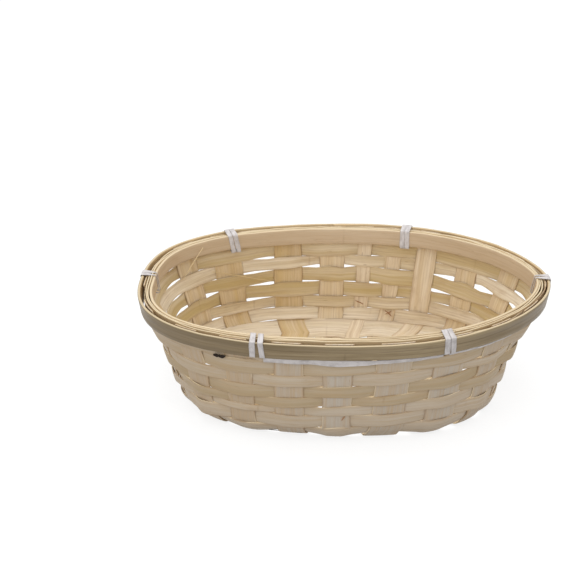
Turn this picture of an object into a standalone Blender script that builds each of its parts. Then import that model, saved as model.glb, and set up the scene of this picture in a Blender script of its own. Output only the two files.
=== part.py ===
"""Oval bamboo basket, woven from flat splints and finished with a hooped, tied rim.

The frame's origin lies on the resting plane under the middle of the basket. X runs along
the oval, Y across it with the front at -Y, and Z up. All lengths are in metres.

Each splint is its own closed solid. Crosswise and lengthwise splints are plain woven in
the base, bend up through the foot and stand in the wall as stakes. Weavers go round them
in separate courses, each a strip whose ends lap over two stakes. Two hoops and two thin
liners clamp the top course, and flat tape ties them in six places.

Places on the wall are given by an angle round the oval, by how far down the slope they
lie from the rim, and by how far they stand out from the middle of the stakes.
"""

import functools
import math

import bmesh
import bpy
from mathutils import Vector

# Overall size
RIM_LENGTH = 0.330
RIM_WIDTH = 0.210
HEIGHT = 0.0955

# The rim is hand shaped: its right end stands a little high and its left end as much low,
# and its section leans out more along the sides than at the ends
RIM_RISE = 0.0035
RIM_SIDE_TILT = math.radians(15)
RIM_END_TILT = math.radians(7)

# Flat of the base, and the bend between base and wall
FLAT_LENGTH = 0.2275
FLAT_WIDTH = 0.1460
FLAT_SHIFT = -0.0045
BEND_RADIUS = 0.0195

# How full the ovals are: 2 is an ellipse, more is squarer
RIM_FULLNESS_LEFT_SHARE = 2.56
RIM_FULLNESS_RIGHT_SHARE = 1.87
FLAT_FULLNESS_SHARE = 2.9

# Splints
SPLINT_GAP = 0.0003
STAKE_THICKNESS = 0.0009
WEAVER_THICKNESS = 0.0008
COURSES = 7
COURSE_GAP = 0.0009
FOOT_GAP = 0.006
CROSSING_MARGIN = 0.0005
FACET_SAG = 0.0002

# Stakes: place along the rim as a share of its half size, and width at that end
CROSSWISE_FRONT_SHARES = (-0.74, -0.51, -0.262, -0.02, 0.25, 0.522, 0.735)
CROSSWISE_BACK_SHARES = (-0.665, -0.33, -0.072, 0.115, 0.285, 0.467, 0.69)
CROSSWISE_FRONT_WIDTHS = (0.020, 0.021, 0.022, 0.022, 0.026, 0.025, 0.020)
CROSSWISE_BACK_WIDTHS = (0.025, 0.025, 0.022, 0.0125, 0.014, 0.018, 0.020)
LENGTHWISE_RIGHT_SHARES = (-0.41, 0.0, 0.43)
LENGTHWISE_LEFT_SHARES = (-0.44, -0.01, 0.61)
LENGTHWISE_WIDTH = 0.021
STAKE_TOP_DROP = 0.0015
SHOULDER_LENGTH = 0.0006
TONGUE_WIDTH = 0.005

# Stakes are counted round the wall from the front left one. Even courses pass outside the
# parity stake, and the upper courses all pass outside the floating stake. Each course's lap
# lies this many stakes from the front left one.
PARITY_STAKE_COUNT = 2
FLOATING_STAKE_COUNT = 11
FLOATED_COURSES = 5
LAP_STAKE_COUNTS = (13, 8, 17, 18, 9, 14, 7)

# Rim
OUTER_HOOP_HEIGHT = 0.0150
OUTER_HOOP_THICKNESS = 0.0024
INNER_HOOP_HEIGHT = 0.0142
INNER_HOOP_THICKNESS = 0.0022
LINER_HEIGHT = 0.0115
LINER_THICKNESS = 0.0012
LINER_DROP = 0.0007
RIM_CLEARANCE = 0.00035
UNDER_RIM_GAP = 0.0016
TOP_COURSE_DROP = 0.0022
TOP_COURSE_WIDTH = 0.0105
OUTER_HOOP_START_COUNT = 14
INNER_HOOP_START_COUNT = 3
OUTER_LINER_START_COUNT = 16
INNER_LINER_START_COUNT = 5
HOOP_LAP_STEPS = 6
HOOP_TIP = 0.0007

# Ties of flat tape: place as a share of the half length or half width, and pitch of two wraps
FRONT_LEFT_TIE_SHARE = -0.402
FRONT_RIGHT_TIE_SHARE = 0.491
RIGHT_TIE_SHARE = 0.070
BACK_RIGHT_TIE_SHARE = 0.343
BACK_LEFT_TIE_SHARE = -0.625
LEFT_TIE_SHARE = 0.100
TAPE_WIDTH = 0.0044
TAPE_THICKNESS = 0.0004
TAPE_GAP = 0.0003
TAPE_CORNER = 0.0006
TAPE_CORNER_STEPS = 2
CLOSE_WRAP_PITCH = 0.0049
OPEN_WRAP_PITCH = 0.0064
RUN_WIDTH = 0.0030
RUN_STEP = 0.012
RUN_END_SHARE = 0.84

FRONT = -1
BACK = 1
OUTSIDE = 1
INSIDE = -1
HALF_TURN = math.pi
QUARTER_TURN = math.pi / 2
FULL_TURN = 2 * math.pi
UP = Vector((0, 0, 1))
TINY_ANGLE_SHARE = 1e-4
SEARCH_STEPS = 40
SMOOTH_ANGLE = math.radians(30)

# Worked out from the values above
CROSSING_OFFSET = (STAKE_THICKNESS + WEAVER_THICKNESS) / 2 + SPLINT_GAP
LAP_OFFSET = CROSSING_OFFSET + WEAVER_THICKNESS + SPLINT_GAP
BASE_OFFSET = (STAKE_THICKNESS + SPLINT_GAP) / 2
BASE_MIDDLE = BASE_OFFSET + STAKE_THICKNESS / 2
WEAVE_HALF = CROSSING_OFFSET + WEAVER_THICKNESS / 2
OUTER_HOOP_INSIDE = WEAVE_HALF + RIM_CLEARANCE
OUTER_HOOP_OUTSIDE = OUTER_HOOP_INSIDE + OUTER_HOOP_THICKNESS
FIRST_LINER_OUTSIDE = -WEAVE_HALF - RIM_CLEARANCE
SECOND_LINER_OUTSIDE = FIRST_LINER_OUTSIDE - LINER_THICKNESS - RIM_CLEARANCE
INNER_HOOP_OUTSIDE = SECOND_LINER_OUTSIDE - LINER_THICKNESS - RIM_CLEARANCE
INNER_HOOP_INSIDE = INNER_HOOP_OUTSIDE - INNER_HOOP_THICKNESS
TOP_HALF_LENGTH = RIM_LENGTH / 2 - OUTER_HOOP_OUTSIDE
TOP_HALF_WIDTH = RIM_WIDTH / 2 - OUTER_HOOP_OUTSIDE
FIRST_COURSE_DROP = OUTER_HOOP_HEIGHT + UNDER_RIM_GAP
RIM_DEPTH = FIRST_COURSE_DROP - SHOULDER_LENGTH


def clear_scene():
    for item in list(bpy.context.scene.objects):
        bpy.data.objects.remove(item, do_unlink=True)


def bamboo(name, colour, roughness):
    material = bpy.data.materials.new(name)
    material.use_nodes = True
    shader = material.node_tree.nodes["Principled BSDF"]
    shader.inputs["Base Color"].default_value = (*colour, 1)
    shader.inputs["Roughness"].default_value = roughness
    shader.inputs["Metallic"].default_value = 0
    material.diffuse_color = (*colour, 1)
    return material


def loft(name, sections, material, closed=False):
    """One closed solid through sections that all have the same number of corners."""
    mesh = bpy.data.meshes.new(name)
    work = bmesh.new()
    loops = [[work.verts.new(point) for point in section] for section in sections]
    pairs = list(zip(loops, loops[1:]))
    if closed:
        pairs.append((loops[-1], loops[0]))
    else:
        work.faces.new(loops[0])
        work.faces.new(loops[-1][::-1])
    corners = len(loops[0])
    for near, far in pairs:
        for i in range(corners):
            j = (i + 1) % corners
            work.faces.new((near[j], near[i], far[i], far[j]))
    bmesh.ops.recalc_face_normals(work, faces=work.faces)
    bmesh.ops.triangulate(work, faces=work.faces)
    work.to_mesh(mesh)
    work.free()
    mesh.shade_smooth()
    mesh.set_sharp_from_angle(angle=SMOOTH_ANGLE)
    mesh.materials.append(material)
    item = bpy.data.objects.new(name, mesh)
    bpy.context.scene.collection.objects.link(item)
    return item


def unit_oval(angle, left, right):
    """Point of an oval of half size 1, whose fullness goes from left to right."""
    along, across = math.cos(angle), math.sin(angle)
    fullness = (left + right) / 2 + (right - left) / 2 * along
    reach = (abs(along) ** fullness + abs(across) ** fullness) ** (-1 / fullness)
    return reach * along, reach * across


def rim_oval(angle):
    return unit_oval(angle, RIM_FULLNESS_LEFT_SHARE, RIM_FULLNESS_RIGHT_SHARE)


def flat_oval(angle):
    return unit_oval(angle, FLAT_FULLNESS_SHARE, FLAT_FULLNESS_SHARE)


def solve_angle(wanted, axis, low, high):
    """Angle between low and high where the rim's share along an axis is the wanted one."""
    rising = rim_oval(high)[axis] > rim_oval(low)[axis]
    for _ in range(SEARCH_STEPS):
        middle = (low + high) / 2
        if (rim_oval(middle)[axis] < wanted) == rising:
            low = middle
        else:
            high = middle
    return (low + high) / 2


def angle_on_side(share, side):
    """Angle of a place on the front or back wall."""
    if side == FRONT:
        return solve_angle(share, 0, -HALF_TURN, 0)
    return solve_angle(share, 0, 0, HALF_TURN)


def angle_on_right(share):
    return solve_angle(share, 1, -QUARTER_TURN, QUARTER_TURN)


def angle_on_left(share):
    return solve_angle(share, 1, QUARTER_TURN, QUARTER_TURN + HALF_TURN)


def rim_tilt(angle):
    """How far the rim's section leans out from upright."""
    _, across = rim_oval(angle)
    return RIM_END_TILT + (RIM_SIDE_TILT - RIM_END_TILT) * across**2


@functools.lru_cache(maxsize=None)
def wall_line(angle):
    """The foot, outward direction, and the tilt and straight length below the rim."""
    along, across = flat_oval(angle)
    foot = Vector((FLAT_SHIFT + FLAT_LENGTH / 2 * along, FLAT_WIDTH / 2 * across, BASE_MIDDLE))
    along, across = rim_oval(angle)
    top = Vector((TOP_HALF_LENGTH * along, TOP_HALF_WIDTH * across, BASE_MIDDLE))
    lean = rim_tilt(angle)
    spread = (top - foot).length - RIM_DEPTH * math.sin(lean)
    rim_height = HEIGHT + RIM_RISE * along
    rise = rim_height - RIM_DEPTH * math.cos(lean) - BASE_MIDDLE - BEND_RADIUS
    straight = math.sqrt(spread**2 + rise**2 - BEND_RADIUS**2)
    tilt = math.atan2(spread, rise) - math.atan2(BEND_RADIUS, straight)
    return foot, (top - foot).normalized(), tilt, straight


def wall_length(angle):
    _, _, tilt, straight = wall_line(angle)
    return RIM_DEPTH + straight + BEND_RADIUS * (QUARTER_TURN - tilt)


def wall_middle(angle, drop):
    """Point on the middle surface and the direction down the slope there."""
    foot, outward, tilt, straight = wall_line(angle)
    lean = rim_tilt(angle)
    below = max(drop - RIM_DEPTH, 0)
    turn = QUARTER_TURN - tilt - max(below - straight, 0) / BEND_RADIUS
    turn = max(turn, 0)
    above = max(straight - below, 0)
    in_rim = max(RIM_DEPTH - drop, 0)
    out = BEND_RADIUS * math.sin(turn) + above * math.sin(tilt) + in_rim * math.sin(lean)
    up = BEND_RADIUS * (1 - math.cos(turn)) + above * math.cos(tilt) + in_rim * math.cos(lean)
    slope = turn if below else QUARTER_TURN - lean
    down_slope = -math.cos(slope) * outward - math.sin(slope) * UP
    return foot + out * outward + up * UP, down_slope


def row_direction(angle, drop):
    """Change of place with the angle, along the course at this drop."""
    ahead, _ = wall_middle(angle + TINY_ANGLE_SHARE, drop)
    behind, _ = wall_middle(angle - TINY_ANGLE_SHARE, drop)
    return (ahead - behind) / (2 * TINY_ANGLE_SHARE)


def on_wall(angle, drop, stand_off):
    point, down_slope = wall_middle(angle, drop)
    outward = down_slope.cross(row_direction(angle, drop)).normalized()
    return point + stand_off * outward


def on_rim(angle, drop, stand_off):
    """Like on_wall, but with the rim's own slope running on straight below it."""
    top, down_slope = wall_middle(angle, 0)
    outward = down_slope.cross(row_direction(angle, min(drop, RIM_DEPTH))).normalized()
    return top + drop * down_slope + stand_off * outward


def half_angle(angle, drop, width):
    """Angle that half this width covers along the course at this drop."""
    return width / 2 / row_direction(angle, drop).length


def level(angle, drop, stand_off):
    """Drop at which a piece that stands off the rim is level with the rim's own drop."""
    return drop - stand_off * math.tan(rim_tilt(angle))


def stakes_round():
    """Angle and width of each stake, in order round the wall from the front left one."""
    front = zip(CROSSWISE_FRONT_SHARES, CROSSWISE_FRONT_WIDTHS)
    back = zip(reversed(CROSSWISE_BACK_SHARES), reversed(CROSSWISE_BACK_WIDTHS))
    found = [(angle_on_side(share, FRONT), width) for share, width in front]
    found += [(angle_on_right(share), LENGTHWISE_WIDTH) for share in LENGTHWISE_RIGHT_SHARES]
    found += [(angle_on_side(share, BACK), width) for share, width in back]
    left = reversed(LENGTHWISE_LEFT_SHARES)
    found += [(angle_on_left(share), LENGTHWISE_WIDTH) for share in left]
    return found


STAKES = stakes_round()
SHORTEST_WALL = min(wall_length(angle) for angle, _ in STAKES)
SHORTEST_STRAIGHT = RIM_DEPTH + min(wall_line(angle)[3] for angle, _ in STAKES)
LAST_COURSE_END = SHORTEST_WALL - FOOT_GAP
COURSE_PITCH = (LAST_COURSE_END - FIRST_COURSE_DROP + COURSE_GAP) / COURSES
WEAVER_WIDTH = COURSE_PITCH - COURSE_GAP


def weave_side(stake, course):
    """Whether a course passes outside or inside a stake."""
    if stake % len(STAKES) == FLOATING_STAKE_COUNT and course <= FLOATED_COURSES:
        return OUTSIDE
    return OUTSIDE if (stake - PARITY_STAKE_COUNT + course) % 2 == 0 else INSIDE


def crossings_from(first, count):
    """Stakes in the order a weaver meets them: stake number, angle, width."""
    met = []
    for number in range(first, first + count):
        turns, stake = divmod(number, len(STAKES))
        angle, width = STAKES[stake]
        met.append((stake, angle + turns * FULL_TURN, width))
    return met


def course_angles(met, drop, spans):
    """Angles at both edges and the middle of each stake, and at steps across each span."""
    angles = []
    for i, (_, angle, width) in enumerate(met):
        half = half_angle(angle, drop, width + 2 * CROSSING_MARGIN)
        if angles:
            step = (angle - half - angles[-1]) / spans[i]
            angles += [angles[-1] + step * k for k in range(1, spans[i])]
        angles += [angle - half, angle, angle + half]
    return angles


def span_steps(met, drop):
    """Steps into which each span between stakes is cut, to keep the facets near the curve."""
    steps = [1]
    for (_, before, before_width), (_, angle, width) in zip(met, met[1:]):
        start = before + half_angle(before, drop, before_width)
        end = angle - half_angle(angle, drop, width)
        turn = row_direction(start, drop).angle(row_direction(end, drop))
        chord = (wall_middle(end, drop)[0] - wall_middle(start, drop)[0]).length
        sag = chord * turn / 8
        steps.append(max(1, math.ceil(math.sqrt(sag / FACET_SAG))))
    return steps


def course_offsets(met_offsets, spans):
    offsets = []
    for offset, steps in zip(met_offsets, spans):
        if offsets:
            change = (offset - offsets[-1]) / steps
            offsets += [offsets[-1] + change * k for k in range(1, steps)]
        offsets += [offset] * 3
    return offsets


def band_sections(rows_of_angles, drops, offsets, thickness):
    """Sections of a band that lies along the wall between its first and last drop."""
    sections = []
    for i, offset in enumerate(offsets):
        places = [(angles[i], drop) for angles, drop in zip(rows_of_angles, drops)]
        outer = [on_wall(angle, drop, offset + thickness / 2) for angle, drop in places]
        inner = [on_wall(angle, drop, offset - thickness / 2) for angle, drop in places]
        sections.append(outer + inner[::-1])
    return sections


def course_top(course):
    return FIRST_COURSE_DROP + (course - 1) * COURSE_PITCH


def lies_straight(course):
    """Whether a course lies wholly above the bend."""
    return course_top(course) + WEAVER_WIDTH < SHORTEST_STRAIGHT


def course_drops(course):
    """Edges of a course, with its middle too where the wall bends under it."""
    top = course_top(course)
    if lies_straight(course):
        return [top, top + WEAVER_WIDTH]
    return [top, top + WEAVER_WIDTH / 2, top + WEAVER_WIDTH]


def weave_course(name, course, first, drops, lapped, material):
    """A weaver from one stake right round, to a lap over two stakes or a butt joint."""
    count = len(STAKES) + 2 if lapped else len(STAKES)
    met = crossings_from(first, count)
    offsets = [weave_side(stake, course) * CROSSING_OFFSET for stake, _, _ in met]
    if lapped:
        offsets[1] = -LAP_OFFSET
        offsets[-2] = LAP_OFFSET
    spans = span_steps(met, drops[0])
    rows = [course_angles(met, drop, spans) for drop in drops]
    sections = band_sections(rows, drops, course_offsets(offsets, spans), WEAVER_THICKNESS)
    return loft(name, sections, material)


def make_weavers(material):
    for course in range(1, COURSES + 1):
        first = LAP_STAKE_COUNTS[(course - 1) % len(LAP_STAKE_COUNTS)]
        if weave_side(first, course) == INSIDE:
            first += 1
        weave_course(f"weaver_{course}", course, first, course_drops(course), True, material)
    drops = [TOP_COURSE_DROP, TOP_COURSE_DROP + TOP_COURSE_WIDTH]
    weave_course("top_weaver", 0, PARITY_STAKE_COUNT, drops, False, material)


def tie_places():
    """Angle of each tie and the pitch of its two wraps."""
    return {
        "front_left": (angle_on_side(FRONT_LEFT_TIE_SHARE, FRONT), OPEN_WRAP_PITCH),
        "front_right": (angle_on_side(FRONT_RIGHT_TIE_SHARE, FRONT), CLOSE_WRAP_PITCH),
        "right": (angle_on_right(RIGHT_TIE_SHARE), CLOSE_WRAP_PITCH),
        "back_right": (angle_on_side(BACK_RIGHT_TIE_SHARE, BACK), CLOSE_WRAP_PITCH),
        "back_left": (angle_on_side(BACK_LEFT_TIE_SHARE, BACK), CLOSE_WRAP_PITCH),
        "left": (angle_on_left(LEFT_TIE_SHARE), CLOSE_WRAP_PITCH),
    }


TIES = tie_places()


def tongue_shift(angle):
    """How far the tongue on a stake's top lies to one side of its middle, clear of ties."""
    near = min(TIES.values(), key=lambda tie: abs(tie[0] - angle))
    away = (near[0] - angle) * row_direction(angle, RIM_DEPTH).length
    reach = near[1] / 2 + TAPE_WIDTH / 2 + TAPE_GAP
    if abs(away) > reach + TONGUE_WIDTH / 2 + TAPE_GAP:
        return 0
    aside = reach - abs(away) + TONGUE_WIDTH / 2 + TAPE_GAP
    return math.copysign(aside, -away) if away else aside


def stake_drops():
    """Drops of a stake's sections from its shoulder down to the bend."""
    drops = []
    for course in range(1, COURSES + 1):
        drops += [course_top(course)] if lies_straight(course) else course_drops(course)
    return drops + [(LAST_COURSE_END + SHORTEST_WALL) / 2]


def flat_section(places, stand_off):
    """Corners of a stake's section: outer face left to right, inner face right to left."""
    half = STAKE_THICKNESS / 2
    outer = [place(stand_off + half) for place in places]
    inner = [place(stand_off - half) for place in places]
    return outer + inner[::-1]


def wall_place(angle, drop):
    return lambda stand_off: on_wall(angle, drop, stand_off)


def stake_wall_sections(angle, width, flip):
    """Sections from the top of a stake down to the flat of the base."""
    sections = []
    shift = tongue_shift(angle)
    for drop in (STAKE_TOP_DROP, RIM_DEPTH):
        per_metre = 1 / row_direction(angle, drop).length
        ends = [shift - TONGUE_WIDTH / 2, shift, shift + TONGUE_WIDTH / 2]
        angles = [angle + end * per_metre for end in ends]
        sections.append([wall_place(a, drop) for a in angles[::flip]])
    for drop in stake_drops():
        half = half_angle(angle, drop, width)
        angles = [angle - half, angle, angle + half]
        sections.append([wall_place(a, drop) for a in angles[::flip]])
    half = half_angle(angle, wall_length(angle), width)
    angles = [angle - half, angle, angle + half]
    sections.append([wall_place(a, wall_length(a)) for a in angles[::flip]])
    return sections


def flat_edge(angle, width, flip):
    """Three points across a stake where the flat of the base ends."""
    half = half_angle(angle, wall_length(angle), width)
    angles = [angle - half, angle, angle + half]
    return [wall_middle(a, wall_length(a))[0] for a in angles[::flip]]


def meeting_share(start, end, other_start, other_end):
    """Share of the way from start to end where it meets the line through the others."""
    along = end - start
    other = other_end - other_start
    to_other = other_start - start
    return (to_other.x * other.y - to_other.y * other.x) / (along.x * other.y - along.y * other.x)


class Splint:
    """A splint that is a stake at both ends and lies in the woven base between them."""

    def __init__(self, name, first, last):
        self.name = name
        self.first = first
        self.last = last
        self.starts = flat_edge(*first, 1)
        self.ends = flat_edge(*last, -1)

    def crossing_sections(self, others, offsets):
        """Sections at both edges of each splint met in the base, at that meeting's offset."""
        sections = []
        for other, offset in zip(others, offsets):
            near, far = [], []
            for start, end in zip(self.starts, self.ends):
                shares = [
                    meeting_share(start, end, other.starts[edge], other.ends[edge])
                    for edge in (0, -1)
                ]
                margin = CROSSING_MARGIN / (end - start).length
                near.append(base_place(start.lerp(end, min(shares) - margin)))
                far.append(base_place(start.lerp(end, max(shares) + margin)))
            sections += [(near, offset), (far, offset)]
        return sections

    def build(self, others, offsets, material):
        down = [(places, 0) for places in stake_wall_sections(*self.first, 1)]
        up = [(places, 0) for places in stake_wall_sections(*self.last, -1)]
        across = self.crossing_sections(others, offsets)
        whole = down + across + up[::-1]
        return loft(self.name, [flat_section(*section) for section in whole], material)


def base_place(spot):
    return lambda stand_off: spot - stand_off * UP


def make_splints(crosswise_material, lengthwise_material):
    crosswise = []
    for i, (front, back) in enumerate(zip(CROSSWISE_FRONT_SHARES, CROSSWISE_BACK_SHARES)):
        first = (angle_on_side(front, FRONT), CROSSWISE_FRONT_WIDTHS[i])
        last = (angle_on_side(back, BACK), CROSSWISE_BACK_WIDTHS[i])
        crosswise.append(Splint(f"crosswise_splint_{i + 1}", first, last))
    lengthwise = []
    for i, (right, left) in enumerate(zip(LENGTHWISE_RIGHT_SHARES, LENGTHWISE_LEFT_SHARES)):
        first = (angle_on_right(right), LENGTHWISE_WIDTH)
        last = (angle_on_left(left), LENGTHWISE_WIDTH)
        lengthwise.append(Splint(f"lengthwise_splint_{i + 1}", first, last))
    for i, splint in enumerate(crosswise):
        offsets = [base_side(i, j) * BASE_OFFSET for j in range(len(lengthwise))]
        splint.build(lengthwise, offsets, crosswise_material)
    for j, splint in enumerate(lengthwise):
        met = list(reversed(list(enumerate(crosswise))))
        offsets = [-base_side(i, j) * BASE_OFFSET for i, _ in met]
        splint.build([other for _, other in met], offsets, lengthwise_material)


def base_side(crosswise, lengthwise):
    """Whether a crosswise splint passes under or over a lengthwise one."""
    return OUTSIDE if (crosswise + lengthwise) % 2 == 0 else INSIDE


def rim_angles(start):
    """Angles at the edges and middle of each stake, once round from a stake."""
    met = crossings_from(start, len(STAKES) + 1)
    return course_angles(met, 0, span_steps(met, 0))[1:-1]


def rim_section(angle, top, height, inside, outside):
    corners = (
        (top, outside),
        (top + height, outside),
        (top + height, inside),
        (top, inside),
    )
    return [on_rim(angle, level(angle, drop, off), off) for drop, off in corners]


def make_hoop(name, start, height, inside, outside, material):
    """A hoop whose ends taper and lap, the last end lying outside the first."""
    angles = rim_angles(start)
    lap = angles[: HOOP_LAP_STEPS + 1]
    taper = outside - inside - SPLINT_GAP - 2 * HOOP_TIP
    steps = [i / HOOP_LAP_STEPS for i in range(HOOP_LAP_STEPS + 1)]
    seams = [inside + HOOP_TIP + taper * share for share in steps]
    sections = [rim_section(a, 0, height, inside, seam) for a, seam in zip(lap, seams)]
    for angle in angles[HOOP_LAP_STEPS + 1 : -1]:
        sections.append(rim_section(angle, 0, height, inside, outside))
    for angle, seam in zip(lap, seams):
        start_of_lap = seam + SPLINT_GAP
        sections.append(rim_section(angle + FULL_TURN, 0, height, start_of_lap, outside))
    return loft(name, sections, material)


def make_liner(name, start, outside, top, material):
    """A thin strip once round the rim, whose ends nearly meet."""
    angles = rim_angles(start)[:-1]
    inside = outside - LINER_THICKNESS
    sections = [rim_section(angle, top, LINER_HEIGHT, inside, outside) for angle in angles]
    return loft(name, sections, material)


def make_rim(outer_material, inner_material, liner_material):
    make_hoop(
        "outer_hoop",
        OUTER_HOOP_START_COUNT,
        OUTER_HOOP_HEIGHT,
        OUTER_HOOP_INSIDE,
        OUTER_HOOP_OUTSIDE,
        outer_material,
    )
    make_hoop(
        "inner_hoop",
        INNER_HOOP_START_COUNT,
        INNER_HOOP_HEIGHT,
        INNER_HOOP_INSIDE,
        INNER_HOOP_OUTSIDE,
        inner_material,
    )
    make_liner("outer_liner", OUTER_LINER_START_COUNT, FIRST_LINER_OUTSIDE, LINER_DROP, liner_material)
    make_liner(
        "inner_liner", INNER_LINER_START_COUNT, SECOND_LINER_OUTSIDE, 2 * LINER_DROP, liner_material
    )


def wrap_path():
    """Round the rim's section: stand-off and drop of the tape's middle, and its outward side."""
    slack = TAPE_GAP + TAPE_THICKNESS / 2
    outside = OUTER_HOOP_OUTSIDE + slack
    inside = INNER_HOOP_INSIDE - slack
    top = -slack
    bottom = OUTER_HOOP_HEIGHT + slack
    corners = (
        (outside - TAPE_CORNER, top + TAPE_CORNER, 0),
        (inside + TAPE_CORNER, top + TAPE_CORNER, 1),
        (inside + TAPE_CORNER, bottom - TAPE_CORNER, 2),
        (outside - TAPE_CORNER, bottom - TAPE_CORNER, 3),
    )
    path = []
    for off, drop, quarter in corners:
        for step in range(TAPE_CORNER_STEPS):
            turn = QUARTER_TURN * (quarter + step / (TAPE_CORNER_STEPS - 1))
            out, up = math.cos(turn), math.sin(turn)
            path.append((off, drop, out, up))
    return path


def wrap_section(angle, width, off, drop, out, up):
    half = half_angle(angle, drop, width)
    rounds = (TAPE_CORNER + TAPE_THICKNESS / 2, TAPE_CORNER - TAPE_THICKNESS / 2)
    places = [(angle - half, rounds[0]), (angle + half, rounds[0])]
    places += [(angle + half, rounds[1]), (angle - half, rounds[1])]
    points = []
    for edge, reach in places:
        stand_off = off + out * reach
        points.append(on_rim(edge, level(edge, drop - up * reach, stand_off), stand_off))
    return points


def make_ties(material):
    for name, (angle, pitch) in TIES.items():
        shift = half_angle(angle, 0, pitch)
        for side, letter in ((-1, "a"), (1, "b")):
            spot = angle + side * shift
            sections = [wrap_section(spot, TAPE_WIDTH, *step) for step in wrap_path()]
            loft(f"tie_{name}_{letter}", sections, material, closed=True)


def make_tape_run(name, start, end, material):
    """Tape laid along the wall just under the outer hoop."""
    middle = WEAVE_HALF + TAPE_GAP + TAPE_THICKNESS / 2
    drop = OUTER_HOOP_HEIGHT + TAPE_GAP
    stretch = row_direction((start + end) / 2, drop).length * (end - start)
    count = math.ceil(stretch / RUN_STEP)
    drops = [drop, drop + RUN_WIDTH]
    angles = [start + (end - start) * i / count for i in range(count + 1)]
    offsets = [middle] * len(angles)
    return loft(name, band_sections([angles] * 2, drops, offsets, TAPE_THICKNESS), material)


def make_tape_runs(material):
    spans = []
    for name in ("front_left", "front_right"):
        angle, pitch = TIES[name]
        spans.append((angle, half_angle(angle, 0, pitch + TAPE_WIDTH + 2 * TAPE_GAP)))
    (left, left_half), (right, right_half) = spans
    end = angle_on_side(RUN_END_SHARE, FRONT)
    make_tape_run("tape_run_front", left + left_half, right - right_half, material)
    make_tape_run("tape_run_right", right + right_half, end, material)


def build():
    clear_scene()
    weaver = bamboo("weaver_bamboo", (0.60, 0.46, 0.28), 0.62)
    crosswise = bamboo("crosswise_bamboo", (0.58, 0.43, 0.25), 0.6)
    lengthwise = bamboo("lengthwise_bamboo", (0.56, 0.42, 0.25), 0.6)
    outer = bamboo("outer_hoop_bamboo", (0.29, 0.23, 0.12), 0.45)
    inner = bamboo("inner_hoop_bamboo", (0.55, 0.38, 0.22), 0.5)
    liner = bamboo("liner_bamboo", (0.62, 0.45, 0.26), 0.6)
    tape = bamboo("tie_tape", (0.80, 0.80, 0.84), 0.35)
    make_splints(crosswise, lengthwise)
    make_weavers(weaver)
    make_rim(outer, inner, liner)
    make_ties(tape)
    make_tape_runs(tape)


build()
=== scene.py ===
import math

import bpy
import numpy as np
from mathutils import Matrix, Vector


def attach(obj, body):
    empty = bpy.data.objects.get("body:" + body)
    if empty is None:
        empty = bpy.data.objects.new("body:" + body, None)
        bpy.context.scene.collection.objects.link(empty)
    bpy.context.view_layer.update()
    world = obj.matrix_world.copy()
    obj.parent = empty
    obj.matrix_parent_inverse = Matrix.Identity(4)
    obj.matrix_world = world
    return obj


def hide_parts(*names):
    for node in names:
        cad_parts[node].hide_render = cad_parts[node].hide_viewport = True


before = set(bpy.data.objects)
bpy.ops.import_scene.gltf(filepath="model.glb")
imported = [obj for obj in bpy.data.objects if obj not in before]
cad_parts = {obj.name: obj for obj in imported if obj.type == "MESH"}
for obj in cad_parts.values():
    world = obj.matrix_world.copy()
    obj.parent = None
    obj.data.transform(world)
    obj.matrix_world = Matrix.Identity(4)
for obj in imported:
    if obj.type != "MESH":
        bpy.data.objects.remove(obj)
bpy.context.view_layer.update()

# Sizes that the solids have too, in metres
RIM_LENGTH = 0.330
RIM_WIDTH = 0.210
HEIGHT = 0.0955
RIM_RISE = 0.0035
RIM_SIDE_TILT = math.radians(15)
RIM_END_TILT = math.radians(7)
RIM_DEPTH = 0.016
FLAT_LENGTH = 0.2275
FLAT_WIDTH = 0.1460
FLAT_SHIFT = -0.0045
BEND_RADIUS = 0.0195
BASE_MIDDLE = 0.00105
RIM_FULLNESS_LEFT = 2.56
RIM_FULLNESS_RIGHT = 1.87
FLAT_FULLNESS = 2.9

# How far layers stand out from the middle of the stakes
HOOP_OUTSIDE = 0.0043
HOOP_INSIDE = 0.0019
FIRST_LINER = (-0.0031, -0.0019)
SECOND_LINER = (-0.00465, -0.00345)
INNER_HOOP = (-0.0072, -0.0050)
TOP_HALF = np.array([RIM_LENGTH / 2 - HOOP_OUTSIDE, RIM_WIDTH / 2 - HOOP_OUTSIDE])

# Constants named _WAVE are unevenness along a strip: its size, in metres or as a share, and its
# length in metres

# Stakes in their order round the wall: place as a share of the rim's half size, and width
STAKE_PLACES = {
    "front": ((-0.74, 0.020), (-0.51, 0.021), (-0.262, 0.022), (-0.02, 0.022), (0.25, 0.026),
              (0.522, 0.025), (0.735, 0.020)),
    "right": ((-0.41, 0.021), (0.0, 0.021), (0.43, 0.021)),
    "back": ((0.69, 0.020), (0.467, 0.018), (0.285, 0.014), (0.115, 0.0125), (-0.072, 0.022),
             (-0.33, 0.025), (-0.665, 0.025)),
    "left": ((0.61, 0.021), (-0.01, 0.021), (-0.44, 0.021)),
}
CROSSWISE = len(STAKE_PLACES["front"])
LENGTHWISE = len(STAKE_PLACES["right"])
CROSSWISE_TONES = (0.85, 0.80, 0.35, 0.10, 0.20, 0.15, 0.50)
LENGTHWISE_TONES = (0.6, 0.6, 0.6)
STAKE_THICKNESS = 0.0009
STAKE_CUP = 0.00008
STAKE_TOP = 0.0008
STAKE_WIDTH_WAVE = (0.03, 0.09)
STAKE_EDGE_WAVE = (0.015, 0.03)
STAKE_SWAY_WAVE = (0.0003, 0.12)
STAKE_SMOOTHING = 5
# How far a stake gives way to a course, and how much of a crossing's bulge it follows
STAKE_GIVE = 0.00022
STAKE_FOLLOWS = 0.65
# The share of its length over which a stake's corners spread to meet the line of the foot
STAKE_FIT = 0.4
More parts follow.
